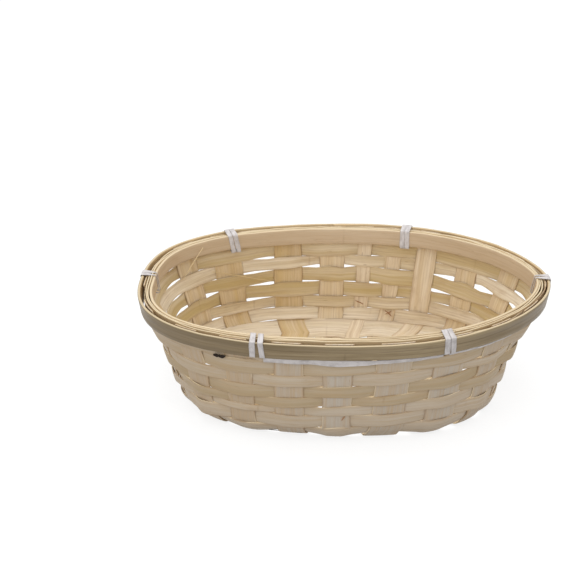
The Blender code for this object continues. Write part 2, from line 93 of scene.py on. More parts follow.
# How far stakes stand out at the foot, how high above the flat base and over which height
SHOULDERS = {0: 0.0012, 1: 0.0004, 2: 0.0007, 3: 0.0003, 4: 0.0022, 5: 0.0008, 6: 0.0016, 8: 0.0012}
SHOULDER_RISE = 0.0100
SHOULDER_REACH = 0.0055
# How far splints in the base lie above or below its middle at their crossings
BASE_LIFT = 0.00052
BASE_SMOOTHING = 9

# How far the wall is drawn in between rim and foot, at places round it and down its slope
DRAW_PLACES = (-140, -115, -60, -35, -12, 18, 150, 175, 198)
DRAWN_IN = (0.0012, 0.0, 0.0, 0.0016, 0.0032, 0.0, 0.0, 0.0014, 0.0026)
DRAW_DROPS = (0.018, 0.036, 0.082, 0.099)

# Lines between the courses: how far down the slope they lie at places round the wall, in degrees
LINE_PLACES = (-120, -95, -75, -50, 0, 45, 90, 125, 180)
LINES = (
    (0.0205, 0.0200, 0.0190, 0.0180, 0.0165, 0.0150, 0.0150, 0.0150, 0.0180),
    (0.0335, 0.0312, 0.0285, 0.0300, 0.0300, 0.0285, 0.0275, 0.0277, 0.0300),
    (0.0438, 0.0418, 0.0400, 0.0370, 0.0420, 0.0410, 0.0378, 0.0402, 0.0425),
    (0.0550, 0.0517, 0.0512, 0.0480, 0.0540, 0.0565, 0.0525, 0.0525, 0.0545),
    (0.0628, 0.0612, 0.0598, 0.0572, 0.0660, 0.0665, 0.0670, 0.0660, 0.0655),
    (0.0680, 0.0700, 0.0693, 0.0680, 0.0775, 0.0780, 0.0783, 0.0765, 0.0765),
    (0.0812, 0.0812, 0.0805, 0.0803, 0.0885, 0.0900, 0.0905, 0.0885, 0.0875),
    (0.0970, 0.0985, 0.0985, 0.0970, 0.1020, 0.1105, 0.1150, 0.1095, 0.0990),
)
LINE_WANDER = 0.00045
LINE_SEED = 1000
COURSE_OVERLAP = 0.00012
# Places where two courses stand apart: (line, bay after this stake), how far, and the shares of
# the bay where the opening starts, is widest and ends
OPENINGS = {
    (0, 17): (0.0022, 0.08, 0.26, 0.44), (1, 17): (0.0018, 0.10, 0.28, 0.44),
    (2, 17): (0.0024, 0.08, 0.28, 0.48), (3, 17): (0.0028, 0.08, 0.28, 0.58),
    (3, 16): (0.0032, 0.16, 0.66, 0.86), (5, 16): (0.0014, 0.20, 0.50, 0.80),
    (1, 15): (0.0020, 0.18, 0.32, 0.64), (2, 15): (0.0022, 0.14, 0.56, 0.84),
    (3, 15): (0.0026, 0.14, 0.32, 0.70), (4, 15): (0.0024, 0.18, 0.70, 0.84),
    (6, 15): (0.0010, 0.20, 0.40, 0.70), (2, 14): (0.0030, 0.14, 0.34, 0.84),
    (3, 14): (0.0014, 0.16, 0.36, 0.84), (2, 13): (0.0026, 0.16, 0.68, 0.86),
    (3, 13): (0.0012, 0.20, 0.60, 0.80), (3, 12): (0.0013, 0.16, 0.68, 0.84),
    (2, 10): (0.0040, 0.12, 0.34, 0.86), (3, 10): (0.0036, 0.16, 0.74, 0.88),
    (2, 9): (0.0058, 0.10, 0.62, 0.90), (2, 8): (0.0044, 0.10, 0.60, 0.90),
    (1, 8): (0.0030, 0.20, 0.60, 0.84),
}
OPENING_POWER = 0.75
# On the front small openings show beside most crossings: sizes, then shares of the bay
CORNER_LINES = range(1, 7)
CORNER_BAYS = (18, 19, 0, 1, 2, 3, 4, 5, 6, 7)
CORNER_SIZES = (0.0002, 0.0013)
CORNER_PEAKS = (0.30, 0.70)
CORNER_BEFORE = 0.16
CORNER_AFTER = 0.22
CORNER_SEED = 41

# Courses: 0 is the weaver inside the rim, 1 to 7 are those of the wall
COURSES = 7
PARITY_STAKE = 2
# The stake that the first courses all pass outside
FLOATING_STAKE = 11
FLOATED_COURSES = 5
# Where the laps of courses 1 to 7 start, or a stake later where that one is in front
LAP_STAKES = (13, 8, 17, 18, 9, 14, 7)
# How far a lap's ends pass their stakes, in half widths of the stake
LAP_REACH = 1.05
LAP_OFFSET = 0.00172
WEAVER_TONES = (0.35, 0.55, 0.15, 0.85, 0.75, 0.20, 0.10, 0.05)
TOP_COURSE_SEED = 97
WEAVER_THICKNESS = 0.0008
WEAVER_OFFSET = 0.00088
WEAVER_BULGE = 0.00042
BULGE_RANGE = (0.4, 1.6)
WEAVER_LEAN = 0.00032
LEAN_RANGE = (-0.4, 2.4)
WEAVER_CUP = 0.00024
# The two courses nearest the rim bulge less
RIM_COURSES = (0, 1)
RIM_COURSE_BULGE = 0.4
# How much further single crossings stand out: (course, stake)
BULGES = {
    (1, 7): 0.0010, (3, 7): 0.0012, (5, 7): 0.0010, (7, 7): 0.0008, (3, 5): 0.0008, (5, 5): 0.0007,
    (1, 19): 0.0004, (3, 19): 0.0005, (5, 19): 0.0003, (7, 19): 0.0010, (7, 1): 0.0005,
    (7, 3): 0.0010, (7, 5): 0.0012, (2, 8): 0.0010, (4, 18): 0.0004, (6, 6): 0.0012,
    (6, 0): 0.0010, (2, 6): 0.0006,
}
BULGE_LEAN = 0.3
# Where a course leaves its base, is at its peak and is back, in half widths of the stake
CROSSING_SHARES = np.array([-0.9, -0.4, 0.4, 0.9])
COURSE_SMOOTHING = 5
LEAN_SMOOTHING = 7
UPPER_EDGE_WAVE = (0.00012, 0.05)
LOWER_EDGE_WAVE = (0.00012, 0.06)
CUP_WAVE = (0.5, 0.2)
THICKNESS_WAVE = (0.08, 0.09)
COURSE_TONE_WAVE = (0.16, 0.3)
# How far the top course comes down to the first line at LINE_PLACES, where 0 is hidden by the rim
TOP_SHOWN_SHARES = (1.0, 0.9, 0.5, 0.2, 0.0, 0.0, 0.0, 0.0, 0.8)
TOP_COURSE_DROP = 0.0009
TOP_COURSE_WIDTH = 0.0118
TOP_COURSE_SLIP = 0.0055
TOP_COURSE_GAP = 0.0003
# Where it passes inside a stake it reaches lower: how far, from which side on and how soon
TOP_COURSE_TUCK = 0.0035
TUCK_SIDE = 0.6
TUCK_RATE = 2
# Half the gap between its ends, in radians
BUTT_GAP = 0.0015

# Rim
# How much higher than the outer hoop the inner one stands at LINE_PLACES, the share of its height
# that it has there, and how much deeper than its mean the outer hoop's colour is
INNER_RISE = (0.0004, 0.0006, 0.0012, 0.0012, 0.0004, -0.0004, -0.0004, -0.0004, -0.0010)
INNER_SHARES = (0.95, 1.0, 1.0, 1.0, 0.95, 0.97, 0.93, 0.90, 0.70)
HOOP_TONES = (0.42, -0.38, -0.33, 0.28, 0.45, 0.0, 0.0, 0.0, 0.50)
HOOP_HEIGHT = 0.0150
INNER_HOOP_HEIGHT = 0.0142
LINER_HEIGHT = 0.0115
HOOP_TIP = 0.0007
HOOP_GAP = 0.0003
HOOP_MIDDLE_DROP = 0.007
OUTER_HOOP_STAKE = 14
INNER_HOOP_STAKE = 3
OUTER_LINER_STAKE = 16
INNER_LINER_STAKE = 5
HOOP_LAP = 2
# Gap between a liner's ends, in radians
LINER_GAP = 0.004
# How much of the rim's tilt is made up for, so that its layers' tops come near one level
LEVELLING = 0.9
HOOP_RISE = 0.0003
LINER_RISE = 0.0007
RISE_LENGTH = 0.26
RIPPLE_SHARE = 0.4
RIPPLE_LENGTH = 0.06
GAPE_LENGTH = 0.13
HOOP_HEIGHT_WAVE = (0.02, 0.33)
HOOP_FACE_WAVE = (0.00008, 0.05)
HOOP_TONE_WAVE = (0.25, 0.45)
# How far apart the grain of a band's two faces lies
FACE_SHIFT = 0.001

# Ties: place as a share of the rim's half size on one side, distance between the two wraps, how
# far both slant and splay down the hoop, how far they lean from the outer to the inner side, and
# the share of their width that is left inside
TIES = {
    "front_left": (-0.3976, "front", 0.0068, -0.00135, 0.00085, -0.0021, 1.0),
    "front_right": (0.4865, "front", 0.0047, 0.0033, 0.0002, 0.0017, 1.0),
    "right": (0.035, "right", 0.0047, 0.0004, 0.0003, 0.0, 0.22),
    "back_right": (0.339, "back", 0.0043, -0.0024, 0.0, 0.0, 1.0),
    "back_left": (-0.625, "back", 0.0046, -0.0010, 0.0, 0.0, 1.0),
    "left": (0.070, "left", 0.0046, 0.0003, 0.0002, 0.0, 0.2),
}
TAPE_WIDTH = 0.0044
TAPE_THICKNESS = 0.0004
# Side of the tie's middle, letter and width of its two wraps
WRAPS = ((-1, "a", TAPE_WIDTH), (1, "b", 0.94 * TAPE_WIDTH))
TIE_SLACK = 0.00035
TIE_TOP_SLACK = 0.0006
TIE_RADIUS = 0.0011
TIE_ARC_STEPS = 5
TIE_STEP = 0.0012
TIE_BOW = 0.00006
TIE_WIDTH_WAVE = (0.05, 0.03)
TIE_SWAY_WAVE = (0.00015, 0.04)
TIE_RIPPLE_WAVE = (0.00005, 0.012)
# Tape that runs on under the hoop: widths at shares of its length, and where the right one ends
RUN_SHARES = (0.0, 0.25, 0.36, 0.50, 0.62, 0.84, 1.0)
FRONT_RUN_WIDTHS = (0.0044, 0.0046, 0.0060, 0.0058, 0.0042, 0.0031, 0.0022)
RIGHT_RUN_WIDTHS = (0.0020, 0.0019, 0.0018, 0.0016, 0.0014, 0.0011, 0.0009)
RUN_END = 0.80
RUN_OFFSET = 0.0027
RUN_GAP = 0.0002
RUN_WIDTH_WAVE = (0.05, 0.05)
RUN_DROP_WAVE = (0.0002, 0.06)
RUN_FACE_WAVE = (0.0002, 0.03)

# Loose fibres, knots, splits and a black patch of painted shadow: both ends as angle in
# degrees, drop and stand-off, then the width and the kind of material
SLIVERS = {
    "fibre_back_left": ((138.5, 0.0050, -0.0100), (150.5, 0.0290, -0.0042), 0.0008, "pale_fibre"),
    "fibre_low_left": ((135.5, 0.0315, -0.0030), (115.0, 0.0490, -0.0030), 0.0009, "pale_fibre"),
    "knot_back_a": ((74.5, 0.0795, -0.0022), (71.5, 0.0850, -0.0022), 0.0011, "brown_knot"),
    "knot_back_b": ((72.0, 0.0800, -0.0022), (74.2, 0.0835, -0.0022), 0.0008, "brown_knot"),
    "knot_back_c": ((85.5, 0.0710, -0.0020), (82.5, 0.0745, -0.0020), 0.0009, "brown_knot"),
    # A black patch of painted shadow, where a gap between hoop and strip lies in shade
    "shadow_patch_front": ((-125.8, 0.0192, 0.0026), (-122.2, 0.0186, 0.0026), 0.0032, "black_shadow_and_split"),
    "split_foot": ((-112.5, 0.0905, 0.0008), (-102.0, 0.0915, 0.0008), 0.0012, "black_shadow_and_split"),
    "split_stake": ((-89.6, 0.0735, 0.0010), (-88.6, 0.0690, 0.0010), 0.0008, "brown_knot"),
}
SLIVER_THICKNESS = 0.0003
SLIVER_STATIONS = 14
SLIVER_TIP = 0.45
SLIVER_SWAY = 0.2
SLIVER_SWAY_LENGTH = 0.02
SLIVER_WIDTH_WAVE = (0.3, 0.006)

STEP = 0.0018
ROUGH_STATIONS = 2000
FLOOR_CLEARANCE = 0.00005
SHARP_ANGLE = math.radians(50)
# How far apart the grain of two pieces lies, per step of their seeds
GRAIN_STEP = 3.71
FULL_TURN = 2 * math.pi
OUTSIDE, INSIDE = 1, -1


# ---- form of the wall ----
def unit_oval(angle, left, right):
    along, across = np.cos(angle), np.sin(angle)
    fullness = (left + right) / 2 + (right - left) / 2 * along
    reach = (np.abs(along) ** fullness + np.abs(across) ** fullness) ** (-1 / fullness)
    return np.stack([reach * along, reach * across], -1)


def rim_oval(angle):
    return unit_oval(angle, RIM_FULLNESS_LEFT, RIM_FULLNESS_RIGHT)


def rim_tilt(angle):
    return RIM_END_TILT + (RIM_SIDE_TILT - RIM_END_TILT) * rim_oval(angle)[..., 1] ** 2


def wall_line(angle):
    """Foot, outward direction, tilt in the rim, and tilt and length of the straight wall."""
    flat = unit_oval(angle, FLAT_FULLNESS, FLAT_FULLNESS)
    foot = flat * [FLAT_LENGTH / 2, FLAT_WIDTH / 2] + [FLAT_SHIFT, 0]
    rim = rim_oval(angle)
    between = rim * TOP_HALF - foot
    reach = np.linalg.norm(between, axis=-1)
    lean = rim_tilt(angle)
    spread_out = reach - RIM_DEPTH * np.sin(lean)
    rise = HEIGHT + RIM_RISE * rim[..., 0] - RIM_DEPTH * np.cos(lean) - BASE_MIDDLE - BEND_RADIUS
    straight = np.sqrt(spread_out**2 + rise**2 - BEND_RADIUS**2)
    tilt = np.arctan2(spread_out, rise) - np.arctan2(BEND_RADIUS, straight)
    return foot, between / reach[..., None], lean, tilt, straight


def wall_length(angle):
    _, _, _, tilt, straight = wall_line(angle)
    return RIM_DEPTH + straight + BEND_RADIUS * (math.pi / 2 - tilt)


def wall_middle(angle, drop):
    """Points on the middle of the wall, and the direction down its slope there."""
    angle, drop = np.broadcast_arrays(angle, drop)
    foot, outward, lean, tilt, straight = wall_line(angle)
    below = np.maximum(drop - RIM_DEPTH, 0)
    turn = np.maximum(math.pi / 2 - tilt - np.maximum(below - straight, 0) / BEND_RADIUS, 0)
    above = np.maximum(straight - below, 0)
    in_rim = np.maximum(RIM_DEPTH - drop, 0)
    out = BEND_RADIUS * np.sin(turn) + above * np.sin(tilt) + in_rim * np.sin(lean)
    up = BEND_RADIUS * (1 - np.cos(turn)) + above * np.cos(tilt) + in_rim * np.cos(lean)
    slope = np.where(drop > RIM_DEPTH, turn, math.pi / 2 - lean)
    inwards = np.maximum(below - straight - BEND_RADIUS * (math.pi / 2 - tilt), 0)
    flat = foot + (out - inwards)[..., None] * outward
    point = np.concatenate([flat, (BASE_MIDDLE + up)[..., None]], -1)
    down = np.concatenate([-np.cos(slope)[..., None] * outward, -np.sin(slope)[..., None]], -1)
    return point, down


def row_direction(angle, drop):
    tiny = 1e-4
    ahead, _ = wall_middle(angle + tiny, drop)
    behind, _ = wall_middle(angle - tiny, drop)
    return (ahead - behind) / (2 * tiny)


def unit(vectors):
    return vectors / np.linalg.norm(vectors, axis=-1, keepdims=True)


def on_wall(angle, drop, off):
    angle, drop, off = np.broadcast_arrays(angle, drop, off)
    point, down = wall_middle(angle, drop)
    outward = unit(np.cross(down, row_direction(angle, drop)))
    off = off - ring_value(DRAW_TABLE, angle) * np.interp(drop, DRAW_DROPS, (0, 1, 1, 0))
    return point + off[..., None] * outward


def on_rim(angle, drop, off):
    angle, drop, off = np.broadcast_arrays(angle, drop, off)
    top, down = wall_middle(angle, np.zeros_like(angle))
    outward = unit(np.cross(down, row_direction(angle, np.minimum(drop, RIM_DEPTH))))
    return top + drop[..., None] * down + off[..., None] * outward


def half_angle(angle, drop, width):
    """The angle that half of a width takes up."""
    return width / 2 / np.linalg.norm(row_direction(angle, drop), axis=-1)


def angle_at(share, side):
    """Where a side of the rim reaches a share of its half size, found by halving."""
    quarter = math.pi / 2
    spans = {
        "front": (0, -math.pi, 0),
        "back": (0, 0, math.pi),
        "right": (1, -quarter, quarter),
        "left": (1, quarter, 3 * quarter),
    }
    axis, low, high = spans[side]
    rising = rim_oval(high)[axis] > rim_oval(low)[axis]
    for _ in range(50):
        middle = (low + high) / 2
        if (rim_oval(middle)[axis] < share) == rising:
            low = middle
        else:
            high = middle
    return (low + high) / 2


STAKES = [(angle_at(share, side), width)
          for side, places in STAKE_PLACES.items() for share, width in places]
COUNT = len(STAKES)


def weave_side(stake, course):
    if stake % COUNT == FLOATING_STAKE and 1 <= course <= FLOATED_COURSES:
        return OUTSIDE
    return OUTSIDE if (stake - PARITY_STAKE + course) % 2 == 0 else INSIDE


def ring_table(values, places=LINE_PLACES):
    """The values at places round the wall as a smooth ring of one for each degree."""
    places = np.radians(places)
    knots = np.concatenate([places - FULL_TURN, places, places + FULL_TURN])
    fine = np.radians(np.arange(-360, 720))
    window = np.hanning(27)
    smooth = np.convolve(np.interp(fine, knots, np.tile(values, 3)), window / window.sum(), "same")
    return smooth[360:721]


def ring_value(table, angle):
    return np.interp(np.asarray(angle, float) % FULL_TURN, np.radians(np.arange(361)), table)


def corner_openings():
    random = np.random.default_rng(CORNER_SEED)
    found = {}
    for line in CORNER_LINES:
        for bay in CORNER_BAYS:
            size = random.uniform(*CORNER_SIZES)
            peak = random.choice(CORNER_PEAKS)
            found[line, bay] = (size, peak - CORNER_BEFORE, peak, peak + CORNER_AFTER)
    return found


ALL_OPENINGS = {**corner_openings(), **OPENINGS}
LINE_TABLES = [ring_table(values) for values in LINES]
TOP_SHOWN = ring_table(TOP_SHOWN_SHARES)
DRAW_TABLE = ring_table(DRAWN_IN, DRAW_PLACES)
RISE_TABLE = ring_table(INNER_RISE)
INNER_TABLE = ring_table(INNER_SHARES)
TONE_TABLE = ring_table(HOOP_TONES)


def ring_drift(angle, seed, waves=(5, 9, 14, 23), fade=0.4, scale=1.7):
    """Smooth unevenness round the wall, which meets itself after a turn."""
    random = np.random.default_rng(seed)
    total = 0.0
    for i, count in enumerate(waves):
        total = total + np.sin(count * angle + random.uniform(0, FULL_TURN)) / (1 + fade * i)
    return total / scale


def opening(line, angle):
    """How far two courses stand apart."""
    total = 0.0
    for (place, bay), (size, *shares) in ALL_OPENINGS.items():
        if place == line:
            start, end = STAKES[bay][0], STAKES[(bay + 1) % COUNT][0]
            share = ((angle - start) % FULL_TURN) / ((end - start) % FULL_TURN)
            total = total + size * np.interp(share, shares, (0, 1, 0)) ** OPENING_POWER
    return total


def line_drop(line, angle):
    return ring_value(LINE_TABLES[line], angle) + LINE_WANDER * ring_drift(angle, LINE_SEED + line)


def course_edges(course, angle):
    """Drops of a course's upper and lower edge."""
    if course == 0:
        shown = ring_value(TOP_SHOWN, angle)
        lower = TOP_COURSE_DROP + TOP_COURSE_WIDTH
        line = line_drop(0, angle) - TOP_COURSE_GAP - opening(0, angle) / 2
        return TOP_COURSE_DROP + TOP_COURSE_SLIP * shown, lower + (line - lower) * shown
    upper = line_drop(course - 1, angle) + opening(course - 1, angle) / 2
    lower = line_drop(course, angle) - opening(course, angle) / 2
    return upper - COURSE_OVERLAP, lower + COURSE_OVERLAP


# ---- small helpers for forms ----
def drift(along, seed, size, length, parts=4, quicken=0.8, fade=0.7, scale=1.6):
    """Smooth unevenness between about -size and size."""
    random = np.random.default_rng(seed)
    total = 0.0
    for i in range(parts):
        period = length / (1 + quicken * i)
        wave = np.sin(FULL_TURN * along / period + random.uniform(0, FULL_TURN))
        total = total + wave / (1 + fade * i)
    return size * (total / scale)


def smoothed(values, taps):
    """Values averaged over an odd number of stations."""
    window = np.hanning(taps + 2)[1:-1]
    return np.convolve(np.pad(values, taps // 2, "edge"), window / window.sum(), "valid")


def spread(middle, half, places):
    """Values at the corners of each section, from its middle and half size."""
    return middle[:, None] + places * half[:, None]


def run_length(points):
    return np.concatenate([[0], np.cumsum(np.linalg.norm(np.diff(points, axis=0), axis=-1))])


def section(upper, lower=None):
    """A closed section from its upper left quarter, and its lower left one where that differs."""
    def mirrored(quarter):
        return [*quarter, *((-u, v) for u, v in quarter[-2::-1])]
    below = [(u, -v) for u, v in mirrored(lower or upper)[::-1] if v]
    return np.array(mirrored(upper) + below).T


STRIP = U_STRIP, V_STRIP = section(
    ((-1.0, 0.30), (-0.985, 0.80), (-0.93, 1.0), (-0.72, 1.0), (-0.36, 1.0), (0.0, 1.0)))
TAPE = U_TAPE, V_TAPE = section(((-1.0, 0.0), (-0.95, 1.0), (-0.5, 1.0), (0.0, 1.0)))
BAND_EDGE = ((-1.0, 0.0), (-0.985, 0.55), (-0.94, 0.9), (-0.86, 1.0))
BAND = U_BAND, V_BAND = section(
    (*BAND_EDGE, (-0.6, 1.0), (-0.3, 1.0), (0.0, 1.0)), (*BAND_EDGE, (-0.5, 1.0), (0.0, 1.0)))


def cupped(cup, mean_square=0.33):
    """How far a strip's edges bend to the inside, and its middle to the outside."""
    return cup * (U_STRIP ** 2 - mean_square)


def add_object(name, data):
    item = bpy.data.objects.new(name, data)
    bpy.context.scene.collection.objects.link(item)
    return item


def make_strip(node, points, along, half, corners, material, seed, tone=0.5, face_shift=0.0,
               closed=False, extra=False):
    """A mesh through closed sections, points[station, corner], that stands for a node.

    Its grain runs with the length along, and across by the half widths of the corners.
    """
    name = node if extra else node + "_strip"
    sunk = np.maximum(FLOOR_CLEARANCE - points[..., 2].min(1), 0)
    points = points + sunk[:, None, None] * [0, 0, 1]
    shape = points.shape[:2]
    index = np.arange(shape[0] * shape[1]).reshape(shape)
    near = index if closed else index[:-1]
    far = np.roll(index, -1, axis=0) if closed else index[1:]
    quads = np.stack([near, np.roll(near, -1, 1), np.roll(far, -1, 1), far], -1).reshape(-1, 4)
    faces = quads.tolist()
    if not closed:
        faces.append(index[0].tolist())
        faces.append(index[-1][::-1].tolist())
    mesh = bpy.data.meshes.new(name)
    mesh.from_pydata(points.reshape(-1, 3).tolist(), [], faces)
    u, v = corners
    grain = np.empty((*shape, 3))
    grain[..., 0] = along[:, None]
    grain[..., 1] = u * half[:, None] + v * face_shift
    grain[..., 2] = seed * GRAIN_STEP
    for title, kind, key, values in (
        ("grain", "FLOAT_VECTOR", "vector", grain),
        ("side", "FLOAT", "value", np.broadcast_to(v, shape)),
        ("edge", "FLOAT", "value", np.broadcast_to(0.0 if extra else np.abs(u), shape)),
        ("tone", "FLOAT", "value", np.broadcast_to(np.reshape(tone, (-1, 1)), shape)),
    ):
        layer = mesh.attributes.new(title, kind, "POINT")
        layer.data.foreach_set(key, np.ascontiguousarray(values, dtype=np.float32).ravel())
    mesh.validate()
    mesh.update()
    flip_if_inside_out(mesh)
    mesh.shade_smooth()
    mesh.set_sharp_from_angle(angle=SHARP_ANGLE)
    mesh.materials.append(material)
    piece = add_object(name, mesh)
    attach(piece, "root")
    if not extra:
        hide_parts(node)


def flip_if_inside_out(mesh):
    points = np.empty(len(mesh.vertices) * 3)
    mesh.vertices.foreach_get("co", points)
    points = points.reshape(-1, 3)
    mesh.calc_loop_triangles()
    corners = np.empty(len(mesh.loop_triangles) * 3, dtype=np.int32)
    mesh.loop_triangles.foreach_get("vertices", corners)
    a, b, c = (points[corners.reshape(-1, 3)[:, i]] for i in range(3))
    if (a * np.cross(b, c)).sum() < 0:
        mesh.flip_normals()


# ---- materials ----
# Noises: how fast they change along, across and from piece to piece, detail, roughness, distortion
FINE_NOISE = ((50, 2600, 1), 3, 0.6)
MIDDLE_NOISE = ((14, 700, 1), 3, 0.55)
BROAD_NOISE = ((6, 170, 1), 2, 0.5)
BLOTCH_NOISE = ((26, 70, 1), 4, 0.6, 0.4)
FLECK_NOISE = ((80, 800, 2.3), 2, 0.5)
GLINT_NOISE = ((45, 100, 1), 1, 0.5)
RIB_NOISE = ((4, 3200, 1), 1, 0.5)
FOLD_NOISE = ((160, 260, 1), 3, 0.55)
# Spans: from what to what a value counts, and as what, which is 0 to 1 where nothing is said
SKIN_AND_SHADE_SPAN = (-0.6, 0.6)
TONE_SPAN = (0.3, 0.7, -0.25, 0.25)
STREAK_SPAN = (0.42, 0.70)
BLOTCH_SPAN = (0.48, 0.78, 0.0, 0.42)
FIBRE_SPAN = (0.42, 0.74, 0.0, 0.22)
FLECK_SPAN = (0.70, 0.78, 0.0)
SHINE_SPAN = (0.3, 0.7)
# Painted shade along the long edges of weavers and stakes
PAINTED_EDGE_SHADE_SPAN = (0.62, 0.93, 0.0)
# Pale edges: the paler cut face of the bamboo together with painted highlight
CUT_AND_HIGHLIGHT_SPAN = (0.93, 1.0, 0.0, 0.75)
# Painted shadow lines along the edges, between the painted glints
EDGE_SHADOW_SPAN = (0.88, 0.97, 0.0, 0.45)
EDGE_SHADOW_PLACES = (0.44, 0.54, 1.0, 0.0)
GLINT_PLACES = (0.50, 0.58, 0.1, 1.0)
# The culm's joints: distance, shift from piece to piece, waviness, half width and strength
JOINT_PITCH = 0.121
JOINT_SHIFT = 0.137
JOINT_WAVINESS = 0.0016
JOINT_SPAN = (0.0, 0.0014, 1.0, 0.0)
JOINT_PLACES = (0.35, 0.65)
JOINT_SHARE = 0.22
# Painted shade of a lengthwise groove: how far it wanders, its width and where it shows
GROOVE_WANDER = (0.3, 0.7, -0.0009, 0.0009)
GROOVE_WIDTH = (0.0001, 0.0009)
GROOVE_PLACES = (0.36, 0.56)
BAMBOO_BUMP = (0.40, 0.00018)
BAMBOO_SPECULAR = 0.35
FOLD_SPAN = (0.35, 0.75)
RIB_SPAN = (0.45, 0.75, 0.0, 0.40)
TAPE_EDGE_SPAN = (0.85, 1.0, 0.0, 0.4)
TAPE_SHINE = (0.28, 0.48)
TAPE_BUMP = (0.4, 0.00015)

# Colours are sRGB, those of the tape in light, in its folds with painted shade, and along its ribs
# and edges
CREAM_CUT_AND_HIGHLIGHT = (222, 206, 174)
TAPE_LIGHT = (208, 203, 202)
TAPE_FOLD_SHADE = (177, 171, 169)
TAPE_RIB = (158, 152, 152)
# Black of the painted shadow patch and of a split at the foot
DARK_PAIR = ((40, 28, 20), (24, 17, 13))
BAMBOOS = {
    # On weavers and stakes the outer colours are darker than the inner ones, partly the skin side's
    # own colour and partly painted shade of the basket's outside
    "weaver_bamboo": dict(
        inner=((240, 227, 204), (202, 179, 127)), outer=((196, 181, 161), (177, 157, 125)),
        streak_and_shade=(184, 156, 118), brown=(140, 106, 72),
        streaks=0.36, flecks=0.5, painted_edge_shade=0.3, glints=True,
    ),
    "stake_bamboo": dict(
        inner=((238, 222, 196), (213, 187, 138)), outer=((190, 179, 164), (186, 166, 140)),
        streak_and_shade=(190, 160, 120), brown=(146, 110, 74),
        streaks=0.42, flecks=0.5, painted_edge_shade=0.2, glints=True,
    ),
    "outer_hoop_bamboo": dict(
        inner=((206, 178, 136), (190, 160, 116)), outer=((166, 147, 114), (124, 107, 80)),
        streak_and_shade=(116, 98, 66), brown=(80, 62, 40), cut_and_highlight=(214, 196, 162),
        shine=(0.32, 0.50), streaks=0.55, flecks=0.5, groove_shade=0.38,
    ),
    "inner_hoop_bamboo": dict(
        inner=((198, 176, 147), (188, 164, 132)), outer=((206, 184, 150), (198, 174, 138)),
        streak_and_shade=(178, 150, 116), brown=(146, 116, 82), cut_and_highlight=(220, 202, 168),
        shine=(0.40, 0.58),
    ),
    "liner_bamboo": dict(
        inner=((216, 198, 164), (194, 168, 128)), outer=((214, 196, 162), (194, 168, 128)),
        streak_and_shade=(180, 148, 108), brown=(124, 86, 56),
    ),
    "pale_fibre": dict(
        inner=((232, 214, 176), (214, 190, 140)), outer=((226, 206, 166), (210, 186, 138)),
        streak_and_shade=(200, 170, 120), brown=(150, 116, 78),
    ),
    "brown_knot": dict(
        inner=((176, 132, 96), (150, 104, 70)), outer=((176, 134, 98), (150, 106, 72)),
        streak_and_shade=(140, 92, 60), brown=(96, 62, 40), cut_and_highlight=(190, 150, 110),
    ),
    "black_shadow_and_split": dict(
        inner=DARK_PAIR, outer=DARK_PAIR,
        streak_and_shade=(60, 42, 28), brown=(16, 12, 9), cut_and_highlight=(90, 66, 44), shine=(0.85, 0.95),
    ),
}


def srgb(red, green, blue):
    def linear(value):
        value /= 255
        return value / 12.92 if value <= 0.04045 else ((value + 0.055) / 1.055) ** 2.4
    return (linear(red), linear(green), linear(blue), 1)


class Nodes:
    """A node tree whose nodes are added one after another."""

    def __init__(self, owner, empty=False):
        owner.use_nodes = True
        self.tree = owner.node_tree
        if empty:
            self.tree.nodes.clear()

    def feed(self, socket, value):
        if isinstance(value, bpy.types.NodeSocket):
            self.tree.links.new(value, socket)
        else:
            socket.default_value = value

    def add(self, kind, sockets=None, **settings):
        node = self.tree.nodes.new(kind)
        for key, value in settings.items():
            setattr(node, key, value)
        for key, value in (sockets or {}).items():
            self.feed(node.inputs[key], value)
        return node

    def number(self, operation, first, second=0.0, clamp=False):
        sockets = {0: first, 1: second}
        return self.add("ShaderNodeMath", sockets, operation=operation, use_clamp=clamp).outputs[0]

    def end(self, kind, lit, seen):
        """Light meets one shader, and the camera and clear or mirrored rays meet the other."""
        path = self.add("ShaderNodeLightPath")
        share = path.outputs["Is Camera Ray"]
        for name in ("Is Glossy Ray", "Is Transmission Ray"):
            share = self.number("MAXIMUM", share, path.outputs[name])
        mix = self.add("ShaderNodeMixShader", {0: share, 1: lit.outputs[0], 2: seen.outputs[0]})
        self.add(kind, {0: mix.outputs[0]})


class Shade(Nodes):
    """The nodes of a strip's material."""

    def __init__(self, name):
        self.material = bpy.data.materials.new(name)
        super().__init__(self.material)
        self.shader = self.tree.nodes["Principled BSDF"]
        self.grain = self.attribute("grain", "Vector")
        self.side = self.attribute("side", "Fac")
        self.edge = self.attribute("edge", "Fac")
        self.tone = self.attribute("tone", "Fac")

    def attribute(self, name, output):
        return self.add("ShaderNodeAttribute", attribute_name=name).outputs[output]

    def noise(self, stretch, detail, roughness, distortion=0.0):
        scaled = self.add("ShaderNodeVectorMath", {0: self.grain, 1: stretch}, operation="MULTIPLY")
        sockets = {
            "Vector": scaled.outputs[0],
            "Scale": 1.0,
            "Detail": detail,
            "Roughness": roughness,
            "Distortion": distortion,
        }
        return self.add("ShaderNodeTexNoise", sockets).outputs["Fac"]

    def span(self, value, low, high, to_low=0.0, to_high=1.0):
        sockets = {
            "Value": value, "From Min": low, "From Max": high, "To Min": to_low, "To Max": to_high,
        }
        return self.add("ShaderNodeMapRange", sockets, interpolation_type="SMOOTHSTEP").outputs[0]

    def mixed(self, share, first, second):
        sockets = {0: share, 6: first, 7: second}
        return self.add("ShaderNodeMix", sockets, data_type="RGBA").outputs[2]

    def finish(self, colour, roughness, height, strength, distance):
        self.feed(self.shader.inputs["Base Color"], colour)
        self.feed(self.shader.inputs["Roughness"], roughness)
        sockets = {"Height": height, "Strength": strength, "Distance": distance}
        self.feed(self.shader.inputs["Normal"], self.add("ShaderNodeBump", sockets).outputs[0])
        return self.material


